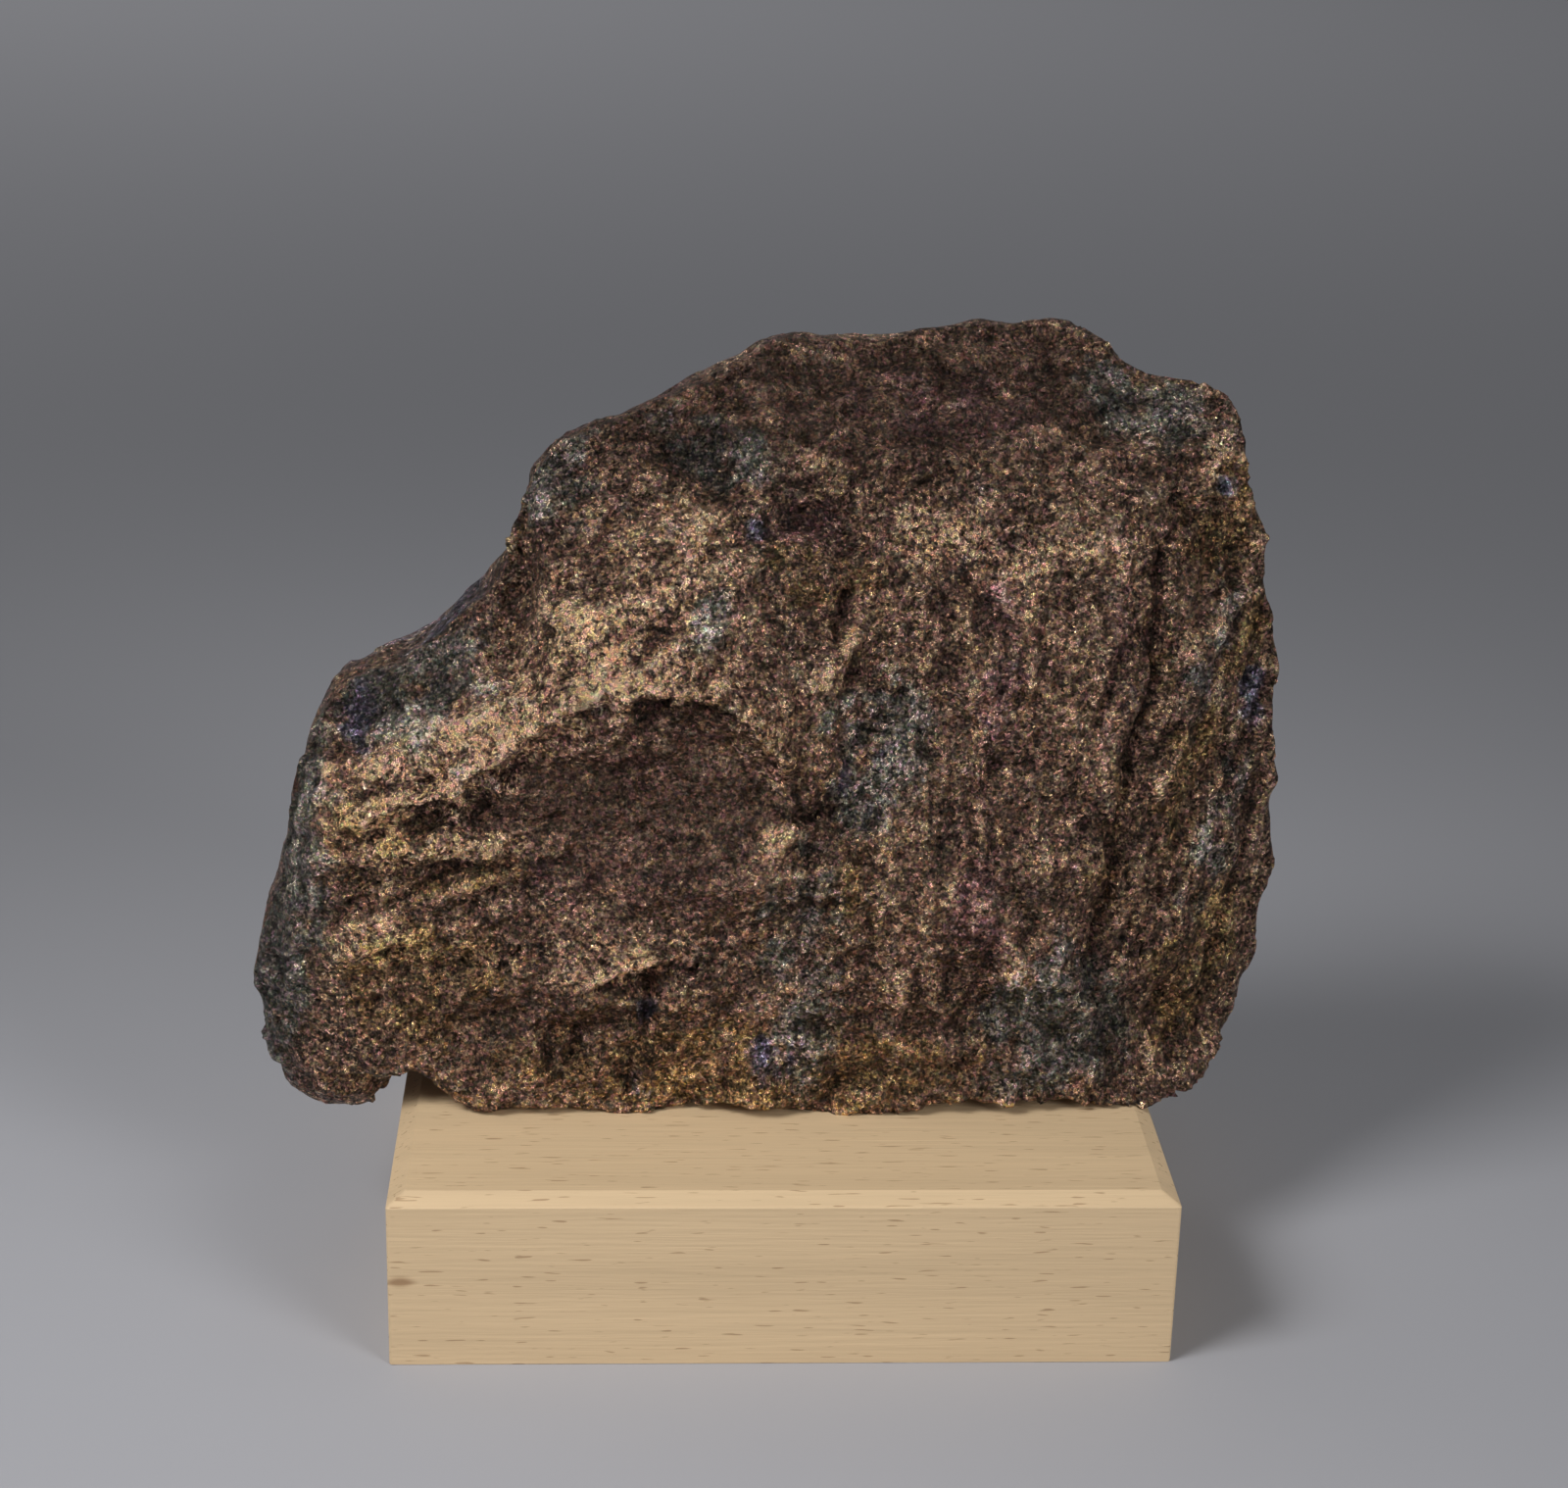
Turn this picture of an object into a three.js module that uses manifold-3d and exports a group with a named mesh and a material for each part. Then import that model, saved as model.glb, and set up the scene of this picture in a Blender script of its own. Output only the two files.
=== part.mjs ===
// A hand-sized renierite specimen standing on a bevelled wooden display block.
// Millimetres, +Z up, +X to the right and +Y towards the back of the specimen.
// The origin is the centre of the block's underside.

import * as THREE from "three";
import { ConvexGeometry } from "three/addons/geometries/ConvexGeometry.js";
import { ImprovedNoise } from "three/addons/math/ImprovedNoise.js";
import { mergeVertices } from "three/addons/utils/BufferGeometryUtils.js";
import Module from "manifold-3d";

const wasm = await Module();
wasm.setup();

// The display block: a planed board with its top edges bevelled
const BLOCK_WIDTH = 80;
const BLOCK_DEPTH = 64;
const BLOCK_HEIGHT = 19;
const BEVEL_RUN = 1.85;
const BEVEL_DROP = 1;

// The stone is sampled evenly over its surface, with this share of it on the front
const STONE_DETAIL = 20;
const STONE_SEED = 11;
const FRONT_SHARE = 0.6;
const FACET_STRAY = 0.3;
const STONE_MIDDLE = { x: 0, z: 58 };
const FRONT_ROUNDNESS = 3.1;
const BACK_ROUNDNESS = 4.6;
const CROWN_SOFTNESS = 1.5;
const CROWN_SOFTENS = [0, 0.35];
const UNDERSIDE_SQUARENESS = 5;
const SECTION_ASPECT = 0.4;

// Clear height between the block and the spots where the stone rests on it
const RESTING_GAP = 0.1;
const RESTING_HEIGHT = BLOCK_HEIGHT + RESTING_GAP;

// The stone's widest outline, walked anticlockwise as seen from the front.
// Each point is [x, z, depth], where depth is counted back from the block's front face.
// The walk starts this far round, as a part of a turn clockwise from the stone's right.
const FOOT = [
  [-33, 19.6, 19], [-30.3, 18.9, 18], [-18, 18.9, 18], [-10, 19.4, 18.6], [-4, 20.2, 18.2],
  [5.8, 18.9, 18], [12, 19, 18.4], [20.6, 20.8, 18], [26.6, 19.9, 18], [35.7, 18.8, 18],
];
const HEEL = [
  [41.2, 18.6, 18.8], [44.4, 19.2, 22], [47.3, 21.3, 26.5], [50.6, 24.5, 30],
];
const RIGHT_SIDE = [
  [51.7, 29.3, 32], [52.6, 35, 33], [53.9, 41.3, 33], [53, 51.2, 33], [52.4, 60.3, 33],
  [53.2, 64.3, 33], [52.1, 69, 33], [50.6, 75, 33], [50.2, 78.7, 33], [48.5, 83.2, 34], [46.9, 90, 35],
];
const CROWN = [
  [46.2, 92.2, 37], [42.9, 93.8, 39], [36.5, 94.8, 40.5], [33.9, 97, 42.5], [30.6, 98.6, 44],
  [27.6, 99, 44], [20.3, 98.6, 44], [10, 97.3, 43.5], [0.2, 97.3, 42],
];
const SLOPE = [
  [-4.9, 94.6, 40], [-11.4, 92.4, 38.5], [-18.1, 88.8, 37], [-24, 86.7, 35],
];
const NOSE = [
  [-26.6, 84.7, 33], [-27.7, 81, 32], [-28.1, 77, 32],
];
const STEP = [
  [-30.1, 72.2, 32.5], [-35.4, 67.8, 32.5], [-38.3, 65.1, 32.5], [-42.7, 64.6, 31.5], [-45.8, 62.3, 30.5],
];
const LEFT_SIDE = [
  [-48.1, 60.6, 29.5], [-50.1, 55, 28.5], [-51.3, 49.3, 28.5], [-52.3, 44, 28.5], [-53.8, 39, 28.5],
  [-55.5, 34, 28.5], [-54.6, 26, 28.5], [-54.1, 22.6, 28],
];
const LIP = [
  [-53, 21.3, 25.5], [-50, 22, 23], [-45, 22.6, 21.5], [-40, 23.5, 21], [-37.2, 24.1, 21], [-35.3, 22, 20],
];
const OUTLINE_START_TURN = 0.36;
const OUTLINE = [
  ...FOOT, ...HEEL, ...RIGHT_SIDE, ...CROWN, ...SLOPE, ...NOSE, ...STEP, ...LEFT_SIDE, ...LIP,
];

// The broad faces of the front. A face is a plane: depth at a place, and how fast it falls back
const LOWER_FRONT = { depth: 19.2, x: 0, z: 40, perX: 0.005, perZ: 0.045 };
const BRIGHT_BULGE = { depth: 17.4, x: -15, z: 65, perX: -0.05, perZ: 0.7 };
const STRIATED_FIELD = { depth: 19.6, x: 15, z: 46, perX: 0.02, perZ: 0.23 };
const LEFT_SHOULDER = { depth: 19.8, x: -45, z: 54.5, perX: -0.34, perZ: 0.98 };
const TOP_BAND = { depth: 28.6, x: 15, z: 86.3, perX: 0, perZ: 1.25 };
const FACE_BLEND = 1.6;

// Above this line the front leans back, and its edge stands out over the steep lower front
const BROW_LINE = [
  [-56, 50.5], [-45, 54.3], [-39, 56.5], [-33, 58.6], [-28.6, 61.5], [-24, 63.9], [-18, 65], [-10, 65.2],
  [-4.4, 62.5], [2.7, 56.8], [10, 46],
];
const BROW_EDGE = [-3.4, 1.2];
const BROW_FADES = [-6, 4];

// Where the bulge ends against the shoulder on its left and the striated field on its right
const SHOULDER_EDGE = [-27.6, -24.8];
const FIELD_EDGE = [-8, 10];

// Right of this line the front turns away to the right flank
const FLANK_LINE = [
  [31, 20], [31.3, 28.8], [33.1, 33.4], [34.7, 42.5], [36.3, 50.4], [37.2, 60.3], [39.2, 76.3], [40, 92],
];
const FLANK_TURN = 0.62;

// Hollows and swellings of the front: middle, reach across and up, and height towards the viewer
const FRONT_LUMPS = [
  { x: -14, z: 53, reachX: 14, reachZ: 7.5, height: -1.2 },
  { x: 15, z: 56, reachX: 6, reachZ: 7, height: -0.8 },
  { x: 1.7, z: 81.2, reachX: 4.2, reachZ: 2, height: -1.7 },
  { x: -12, z: 71, reachX: 2.5, reachZ: 1.5, height: -1 },
  { x: -20.5, z: 71, reachX: 4, reachZ: 4.5, height: 1.1 },
  { x: -10, z: 77, reachX: 5, reachZ: 3.5, height: 0.9 },
  { x: 11, z: 83, reachX: 4.5, reachZ: 2, height: 0.9 },
  { x: 27, z: 81.5, reachX: 7, reachZ: 2.5, height: 0.9 },
  { x: 30, z: 68, reachX: 5, reachZ: 6, height: 0.8 },
  { x: -3, z: 23, reachX: 4.5, reachZ: 3.5, height: -0.8 },
  { x: 24, z: 25, reachX: 7, reachZ: 5, height: -1 },
  { x: 11, z: 35, reachX: 5, reachZ: 6, height: 0.7 },
  { x: -40, z: 31, reachX: 6, reachZ: 4, height: 0.8 },
  { x: 46, z: 60, reachX: 2.5, reachZ: 8, height: -1 },
  { x: 34, z: 93, reachX: 5, reachZ: 2, height: -1.2 },
];

// Ridges (positive height) and furrows (negative) that run along a path on the front
const FRONT_LINES = [
  { height: 0.9, reach: 1.8, path: [[-45, 55], [-39, 57.2], [-33, 59.4], [-28.6, 62.3], [-24, 64.8]] },
  { height: 1, reach: 1.3, path: [[-43.1, 52], [-38.1, 53.8], [-33.1, 56]] },
  { height: -0.8, reach: 1.2, path: [[-42, 50.2], [-37, 51.2], [-32, 53]] },
  { height: 1, reach: 1.4, path: [[-40.2, 48], [-35.2, 49.1], [-31.2, 49.7]] },
  { height: 0.9, reach: 1.5, path: [[-42.4, 38.1], [-37.4, 40.4]] },
  { height: 1, reach: 1.7, path: [[0, 59.2], [2.7, 56.8], [0.8, 51.6], [-3.2, 45.4]] },
  { height: -0.7, reach: 1.4, path: [[4.8, 56], [2.2, 50.5], [-0.5, 46.5]] },
  { height: -1.2, reach: 1.6, path: [[-27.9, 76.5], [-26.4, 71.2], [-26, 65.5]] },
  { height: -1.3, reach: 1.9, path: [[-15.4, 89.3], [-10.4, 86.7], [-3.4, 85.3]] },
  { height: 0.9, reach: 1.3, path: [[-2, 84.6], [4, 83.8]] },
  { height: 1, reach: 1.4, path: [[3.3, 64.7], [5, 68], [7.4, 70]] },
  { height: -0.6, reach: 1.3, path: [[8.5, 67.5], [7, 64.5], [5.8, 62]] },
  { height: -0.8, reach: 1.4, path: [[15.9, 78], [20, 75.9], [25.3, 71.2]] },
  { height: 1.2, reach: 1.4, path: [[-21.7, 31.8], [-18.1, 34.6], [-14, 36]] },
  { height: -0.9, reach: 1.3, path: [[-14, 34.4], [-14.9, 30.5], [-15.2, 26.5]] },
  { height: -1.3, reach: 1.4, path: [[38, 71], [37.2, 60.3], [36.3, 50.4], [34.7, 42.5], [33.1, 33.4]] },
  { height: 0.8, reach: 1.6, path: [[45.5, 74], [43, 66], [41, 56]] },
  { height: 0.8, reach: 1.8, path: [[48, 46], [44, 38], [39, 31]] },
];

// The broken back, made of broad faces in the same terms, with a scoop and two ridges
const BACK_FACES = [
  { depth: 57.5, x: 0, z: 50, perX: 0.05, perZ: -0.06 },
  { depth: 57, x: -10, z: 74, perX: 0.1, perZ: -0.34 },
  { depth: 56, x: -30, z: 50, perX: 0.36, perZ: 0.06 },
  { depth: 56, x: 27, z: 50, perX: -0.42, perZ: -0.1 },
  { depth: 54, x: 5, z: 33, perX: -0.06, perZ: 0.36 },
];
const BACK_LUMPS = [
  { x: 12, z: 62, reachX: 13, reachZ: 9, height: -2.6 },
  { x: -20, z: 44, reachX: 8, reachZ: 6, height: -1.4 },
  { x: 30, z: 40, reachX: 6, reachZ: 8, height: 1.2 },
  { x: -14, z: 76, reachX: 7, reachZ: 4, height: 1.3 },
];
const BACK_LINES = [
  { height: 1.5, reach: 2.2, path: [[-36, 62], [-22, 58], [-8, 53], [4, 48], [18, 47], [32, 52]] },
  { height: 1.2, reach: 1.8, path: [[2, 84], [8, 74], [4, 66]] },
  { height: -1.3, reach: 1.7, path: [[-8, 38], [-2, 30], [10, 27]] },
  { height: -1.2, reach: 1.6, path: [[24, 78], [30, 68], [29, 58]] },
];

// Broken lumps over the whole skin: wavelength and height of each size
const SKIN_LUMPS = [
  { wavelength: 19, height: 0.6 },
  { wavelength: 8.5, height: 0.5 },
];
const LUMP_SHIFT = 31.7;
const LUMP_CREASE = 3.2;
const FACE_LUMPINESS = 1.3;

// The lobe that hangs below the stone's left end, beside the block
const LOBE_DETAIL = 6;
const LOBE_SEED = 5;
const LOBE_MIDDLE = { x: -46.8, depth: 29.5, z: 21 };
const LOBE_RADII = { x: 6.2, y: 7.5, z: 4.9 };
const LOBE_LUMPS = [
  { wavelength: 6, height: 0.7 },
];

const noise = new ImprovedNoise();
const { lerp, clamp } = THREE.MathUtils;

function smoothStep(low, high, value) {
  return THREE.MathUtils.smoothstep(value, low, high);
}

function smoothMax(a, b, width) {
  return (a + b + Math.hypot(a - b, width)) / 2;
}

function smoothMin(a, b, width) {
  return -smoothMax(-a, -b, width);
}

function faceDepth(face, x, z) {
  return face.depth + face.perX * (x - face.x) + face.perZ * (z - face.z);
}

// Distance from a place to a path of straight stretches
function distanceToPath(path, x, z) {
  let nearest = Infinity;
  for (let i = 1; i < path.length; i += 1) {
    const [x0, z0] = path[i - 1];
    const [x1, z1] = path[i];
    const along = ((x - x0) * (x1 - x0) + (z - z0) * (z1 - z0)) / ((x1 - x0) ** 2 + (z1 - z0) ** 2);
    const t = clamp(along, 0, 1);
    nearest = Math.min(nearest, Math.hypot(x - x0 - t * (x1 - x0), z - z0 - t * (z1 - z0)));
  }
  return nearest;
}

// The x of a rising path of straight stretches at a height
function pathAcross(path, z) {
  let i = 1;
  while (i < path.length - 1 && path[i][1] < z) i += 1;
  const [x0, z0] = path[i - 1];
  const [x1, z1] = path[i];
  return x0 + (x1 - x0) * clamp((z - z0) / (z1 - z0), 0, 1);
}

// The height of a path that runs from left to right, at a place across it
function pathHeight(path, x) {
  return pathAcross(path.map(([px, pz]) => [pz, px]), x);
}

// Height towards the viewer that the lumps and lines of a face add at a place
function reliefHeight(lumps, lines, x, z) {
  let height = 0;
  for (const lump of lumps) {
    const across = (x - lump.x) / lump.reachX;
    const up = (z - lump.z) / lump.reachZ;
    height += lump.height * Math.exp(-across * across - up * up);
  }
  for (const line of lines) {
    const away = distanceToPath(line.path, x, z) / line.reach;
    height += line.height * Math.exp(-away * away);
  }
  return height;
}

// Depth of the faces that lean back: shoulder, bulge and field side by side, with the top band above
function leaningDepth(x, z) {
  const shoulder = faceDepth(LEFT_SHOULDER, x, z);
  const bulge = faceDepth(BRIGHT_BULGE, x, z);
  const field = faceDepth(STRIATED_FIELD, x, z);
  const leftHalf = lerp(shoulder, bulge, smoothStep(...SHOULDER_EDGE, x));
  const upper = lerp(leftHalf, field, smoothStep(...FIELD_EDGE, x));
  return smoothMax(upper, faceDepth(TOP_BAND, x, z), FACE_BLEND);
}

function frontDepth(x, z) {
  const lower = faceDepth(LOWER_FRONT, x, z);
  const leaning = leaningDepth(x, z);
  const aboveBrow = smoothStep(...BROW_EDGE, z - pathHeight(BROW_LINE, x));
  const withBrow = lerp(lower, leaning, aboveBrow);
  const withoutBrow = smoothMax(lower, leaning, FACE_BLEND);
  const depth = lerp(withBrow, withoutBrow, smoothStep(...BROW_FADES, x));
  const pastFlank = smoothMax(x - pathAcross(FLANK_LINE, z), 0, FACE_BLEND);
  return depth + FLANK_TURN * pastFlank - reliefHeight(FRONT_LUMPS, FRONT_LINES, x, z);
}

function backDepth(x, z) {
  const depths = BACK_FACES.map((face) => faceDepth(face, x, z));
  const depth = depths.reduce((a, b) => smoothMin(a, b, FACE_BLEND));
  return depth + reliefHeight(BACK_LUMPS, BACK_LINES, x, z);
}

// Cumulative length along the closed outline, so that points can be placed evenly on it
function outlineWalk(outline) {
  const lengths = [0];
  outline.forEach((point, i) => {
    const next = outline[(i + 1) % outline.length];
    lengths.push(lengths[i] + Math.hypot(next[0] - point[0], next[1] - point[1]));
  });
  return lengths;
}

const OUTLINE_LENGTHS = outlineWalk(OUTLINE);

function outlinePoint(share) {
  const total = OUTLINE_LENGTHS[OUTLINE.length];
  const target = THREE.MathUtils.euclideanModulo(share, 1) * total;
  let i = 0;
  while (OUTLINE_LENGTHS[i + 1] < target) i += 1;
  const t = (target - OUTLINE_LENGTHS[i]) / (OUTLINE_LENGTHS[i + 1] - OUTLINE_LENGTHS[i]);
  const from = OUTLINE[i];
  const to = OUTLINE[(i + 1) % OUTLINE.length];
  return from.map((value, k) => lerp(value, to[k], t));
}

// A section from the rim inwards is a superellipse quarter: reach is 1 at the rim and 0 in the
// middle, and fullness is 0 at the rim and 1 in the middle. Steps are spaced for equal skin area.
const SECTION_STEPS = 240;

function sectionTable(roundness) {
  const stations = [];
  let area = 0;
  for (let i = 0; i <= SECTION_STEPS; i += 1) {
    const angle = ((i / SECTION_STEPS) ** 2 * Math.PI) / 2;
    const reach = Math.cos(angle) ** (2 / roundness);
    const fullness = Math.sin(angle) ** (2 / roundness);
    if (i > 0) {
      const last = stations[i - 1];
      const step = Math.hypot(reach - last.reach, SECTION_ASPECT * (fullness - last.fullness));
      area += (step * (reach + last.reach)) / 2;
    }
    stations.push({ reach, fullness, area });
  }
  return stations;
}

const sectionTables = new Map();

function sectionAt(roundness, share) {
  const key = Math.round(roundness * 20) / 20;
  if (!sectionTables.has(key)) sectionTables.set(key, sectionTable(key));
  const stations = sectionTables.get(key);
  const target = share * stations[SECTION_STEPS].area;
  let i = 1;
  while (i < SECTION_STEPS && stations[i].area < target) i += 1;
  const from = stations[i - 1];
  const to = stations[i];
  const t = (target - from.area) / (to.area - from.area);
  const reach = lerp(from.reach, to.reach, t);
  const fullness = lerp(from.fullness, to.fullness, t);
  return { reach, fullness };
}

// The back is squarest where the stone rests and softest along its crown
function backRoundness(direction) {
  const upwards = direction.z / Math.hypot(direction.x, direction.z);
  const squarer = UNDERSIDE_SQUARENESS * Math.max(0, -upwards) ** 3;
  return BACK_ROUNDNESS + squarer - CROWN_SOFTNESS * smoothStep(...CROWN_SOFTENS, upwards);
}

// The place on the stone's skin that a direction on the unit sphere stands for
function skinPoint(direction) {
  const rimLevel = 2 * FRONT_SHARE - 1;
  const inFront = direction.y < rimLevel;
  const span = inFront ? 2 * FRONT_SHARE : 2 - 2 * FRONT_SHARE;
  const share = Math.abs(direction.y - rimLevel) / span;
  const turn = Math.atan2(direction.z, direction.x) / (2 * Math.PI);
  const [rimX, rimZ, rimDepth] = outlinePoint(turn + OUTLINE_START_TURN);
  const roundness = inFront ? FRONT_ROUNDNESS : backRoundness(direction);
  const { reach, fullness } = sectionAt(roundness, share);
  const x = STONE_MIDDLE.x + reach * (rimX - STONE_MIDDLE.x);
  const z = STONE_MIDDLE.z + reach * (rimZ - STONE_MIDDLE.z);
  const faceAt = inFront ? frontDepth(x, z) : backDepth(x, z);
  const depth = rimDepth + fullness * (faceAt - rimDepth);
  return new THREE.Vector3(x, depth - BLOCK_DEPTH / 2, z);
}

// Signed height of broken lumps at a place: creased noise, with sharp crests between the hollows
function lumpHeight(lumps, point) {
  let height = 0;
  lumps.forEach((lump, i) => {
    const shift = LUMP_SHIFT * (i + 1);
    const { x, y, z } = point.clone().divideScalar(lump.wavelength);
    height += lump.height * (1 - LUMP_CREASE * Math.abs(noise.noise(x + shift, y, z - shift)));
  });
  return height;
}

// A closed geometry whose vertices are those of a unit sphere moved by place(direction)
function wrappedSphere(detail, seed, place) {
  const sphere = new THREE.IcosahedronGeometry(1, detail);
  sphere.deleteAttribute("normal");
  sphere.deleteAttribute("uv");
  const geometry = mergeVertices(sphere);
  const position = geometry.getAttribute("position");
  const stray = FACET_STRAY / detail;
  const vertex = new THREE.Vector3();
  THREE.MathUtils.seededRandom(seed);
  const nudge = () => (THREE.MathUtils.seededRandom() * 2 - 1) * stray;
  for (let i = 0; i < position.count; i += 1) {
    vertex.fromBufferAttribute(position, i);
    vertex.set(vertex.x + nudge(), vertex.y + nudge(), vertex.z + nudge()).normalize();
    const placed = place(vertex);
    position.setXYZ(i, placed.x, placed.y, placed.z);
  }
  geometry.computeVertexNormals();
  return geometry;
}

// Moves each vertex along its normal by the lumps, by the share that amount(normal) gives
function roughen(geometry, lumps, amount) {
  const position = geometry.getAttribute("position");
  const normal = geometry.getAttribute("normal");
  const point = new THREE.Vector3();
  const outwards = new THREE.Vector3();
  for (let i = 0; i < position.count; i += 1) {
    point.fromBufferAttribute(position, i);
    outwards.fromBufferAttribute(normal, i);
    const push = lumpHeight(lumps, point) * amount(outwards);
    point.addScaledVector(outwards, push);
    position.setXYZ(i, point.x, point.y, point.z);
  }
}

function asSolid(geometry) {
  const triVerts = new Uint32Array(geometry.getIndex().array);
  const vertProperties = new Float32Array(geometry.getAttribute("position").array);
  return new wasm.Manifold(new wasm.Mesh({ numProp: 3, vertProperties, triVerts }));
}

function asGeometry(solid) {
  const mesh = solid.getMesh();
  const geometry = new THREE.BufferGeometry();
  geometry.setAttribute("position", new THREE.BufferAttribute(new Float32Array(mesh.vertProperties), 3));
  geometry.setIndex(new THREE.BufferAttribute(new Uint32Array(mesh.triVerts), 1));
  return geometry;
}

function stoneBody() {
  const geometry = wrappedSphere(STONE_DETAIL, STONE_SEED, skinPoint);
  // The outline stays where it was measured: the skin is broken up on the faces, not at the rim
  roughen(geometry, SKIN_LUMPS, (outwards) => Math.min(1, Math.abs(outwards.y) * FACE_LUMPINESS));
  const position = geometry.getAttribute("position");
  for (let i = 0; i < position.count; i += 1) {
    position.setZ(i, Math.max(position.getZ(i), RESTING_HEIGHT));
  }
  return asSolid(geometry);
}

function stoneLobe() {
  const geometry = wrappedSphere(LOBE_DETAIL, LOBE_SEED, (direction) => {
    const x = LOBE_MIDDLE.x + direction.x * LOBE_RADII.x;
    const depth = LOBE_MIDDLE.depth + direction.y * LOBE_RADII.y;
    const z = LOBE_MIDDLE.z + direction.z * LOBE_RADII.z;
    return new THREE.Vector3(x, depth - BLOCK_DEPTH / 2, z);
  });
  roughen(geometry, LOBE_LUMPS, () => 1);
  return asSolid(geometry);
}

function stoneGeometry() {
  return asGeometry(stoneBody().add(stoneLobe()));
}

function blockGeometry() {
  const points = [];
  for (const sideX of [-1, 1]) {
    for (const sideY of [-1, 1]) {
      const x = (sideX * BLOCK_WIDTH) / 2;
      const y = (sideY * BLOCK_DEPTH) / 2;
      points.push(new THREE.Vector3(x, y, 0));
      points.push(new THREE.Vector3(x, y, BLOCK_HEIGHT - BEVEL_DROP));
      points.push(new THREE.Vector3(x - sideX * BEVEL_RUN, y - sideY * BEVEL_RUN, BLOCK_HEIGHT));
    }
  }
  return new ConvexGeometry(points);
}

const tarnishedOre = new THREE.MeshStandardMaterial({
  color: 0x5a4532,
  roughness: 0.5,
  metalness: 0.6,
  flatShading: true,
});
const paleWood = new THREE.MeshStandardMaterial({ color: 0xcbb083, roughness: 0.6, metalness: 0 });

const stone = new THREE.Mesh(stoneGeometry(), tarnishedOre);
stone.name = "renierite_specimen";

const block = new THREE.Mesh(blockGeometry(), paleWood);
block.name = "wooden_block";

const group = new THREE.Group();
group.add(stone, block);

export default group;
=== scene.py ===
"""A tarnished renierite specimen on its wooden display block, with a small studio set around it.

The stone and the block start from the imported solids. The stone gets a fine broken skin with cracks and
ledges, and grains that glitter in bronze, gold, mauve, grey and blue. The block gets eased edges and
open-pored pale wood.
"""

import math
from collections import namedtuple

import bmesh
import bpy
import numpy as np
from bpy.props import FloatProperty, FloatVectorProperty, IntProperty, PointerProperty
from mathutils import Matrix, Vector, noise


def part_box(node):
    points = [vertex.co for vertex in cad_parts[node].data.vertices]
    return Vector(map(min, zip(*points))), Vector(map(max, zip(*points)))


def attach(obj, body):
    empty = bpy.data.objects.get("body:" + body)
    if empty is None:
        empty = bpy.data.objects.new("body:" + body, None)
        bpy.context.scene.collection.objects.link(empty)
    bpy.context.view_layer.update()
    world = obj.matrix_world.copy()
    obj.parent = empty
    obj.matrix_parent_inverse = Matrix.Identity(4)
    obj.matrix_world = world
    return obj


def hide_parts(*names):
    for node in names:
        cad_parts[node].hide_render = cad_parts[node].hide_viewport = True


bl_info = {
    "name": "Renierite Specimen",
    "version": (1, 0, 0),
    "blender": (4, 5, 0),
    "location": "View3D > Sidebar > Specimen",
    "description": "Builds a renierite specimen on a wooden block, and a studio round it",
    "category": "Object",
}

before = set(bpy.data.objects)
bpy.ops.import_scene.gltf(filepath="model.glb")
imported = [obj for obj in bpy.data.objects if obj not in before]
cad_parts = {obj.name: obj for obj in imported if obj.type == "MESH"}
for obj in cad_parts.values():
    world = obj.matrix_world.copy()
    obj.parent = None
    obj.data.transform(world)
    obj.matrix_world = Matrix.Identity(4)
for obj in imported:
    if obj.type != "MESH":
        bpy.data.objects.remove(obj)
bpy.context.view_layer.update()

MM = 0.001
STONE = "renierite_specimen"
BLOCK = "wooden_block"
BODY = "root"

# Points of the solids that lie closer than this are one point.
SAME_POINT = 0.001 * MM

# The block's knot mark: its middle in millimetres, and how each direction is shrunk to measure from it,
# which draws the mark out along the grain.
KNOT = (-38.7, -32.0, 9.6)
KNOT_SHRINK = (0.45, 1.0, 1.0)

# The wood's own patterns: how often each one comes in a millimetre, along the grain and across it.
WOOD_BANDS = (0.012, 0.20, 0.30)
WOOD_FIBRES = (0.07, 2.4, 2.4)
WOOD_PORES = (0.32, 3.0, 3.0)

# How far the fibres stand out.
FIBRE_HEIGHT = 0.06 * MM

# Marks on the front of the stone. Each point is across and up, in millimetres from the middle of the
# block's underside. Width is how far the mark reaches to each side, and height is out of the skin.
Mark = namedtuple("Mark", "path width height")

GROOVES = (
    Mark(((-44, 53.7), (-41.6, 55), (-37.5, 55.8), (-35, 57.2)), 0.6, -0.9),
    Mark(((39, 78.4), (38.3, 72.4), (37.6, 64.6), (37, 61), (35.7, 54.5), (34, 41.7), (32.3, 35)), 0.6, -0.9),
    Mark(((5.6, 74.4), (5.3, 72.2), (4.9, 70.4)), 0.6, -0.9),
    Mark(((6.9, 68.3), (6.6, 66.4), (6.1, 64.8)), 0.6, -0.9),
    Mark(((4.4, 54.1), (2.9, 52.7), (1.6, 52)), 0.8, -1.1),
    Mark(((-13.8, 71.4), (-11.9, 72.5)), 0.9, -0.9),
    Mark(((-14.6, 34), (-14.3, 31.6), (-14.8, 27.6)), 0.6, -0.9),
    Mark(((-24.2, 27.5), (-24.7, 25), (-22.7, 23.3)), 0.5, -0.7),
    Mark(((-21.9, 28.1), (-22.4, 24.9)), 0.5, -0.6),
    Mark(((-15.5, 25.4), (-15.7, 22.5)), 0.5, -0.6),
    Mark(((-16.5, 88.6), (-10.4, 86), (-6.4, 85.2)), 1.8, -0.6),
    Mark(((-1.3, 81.2), (1.7, 81.2), (4.7, 80.7)), 2.0, -0.6),
)
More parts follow.
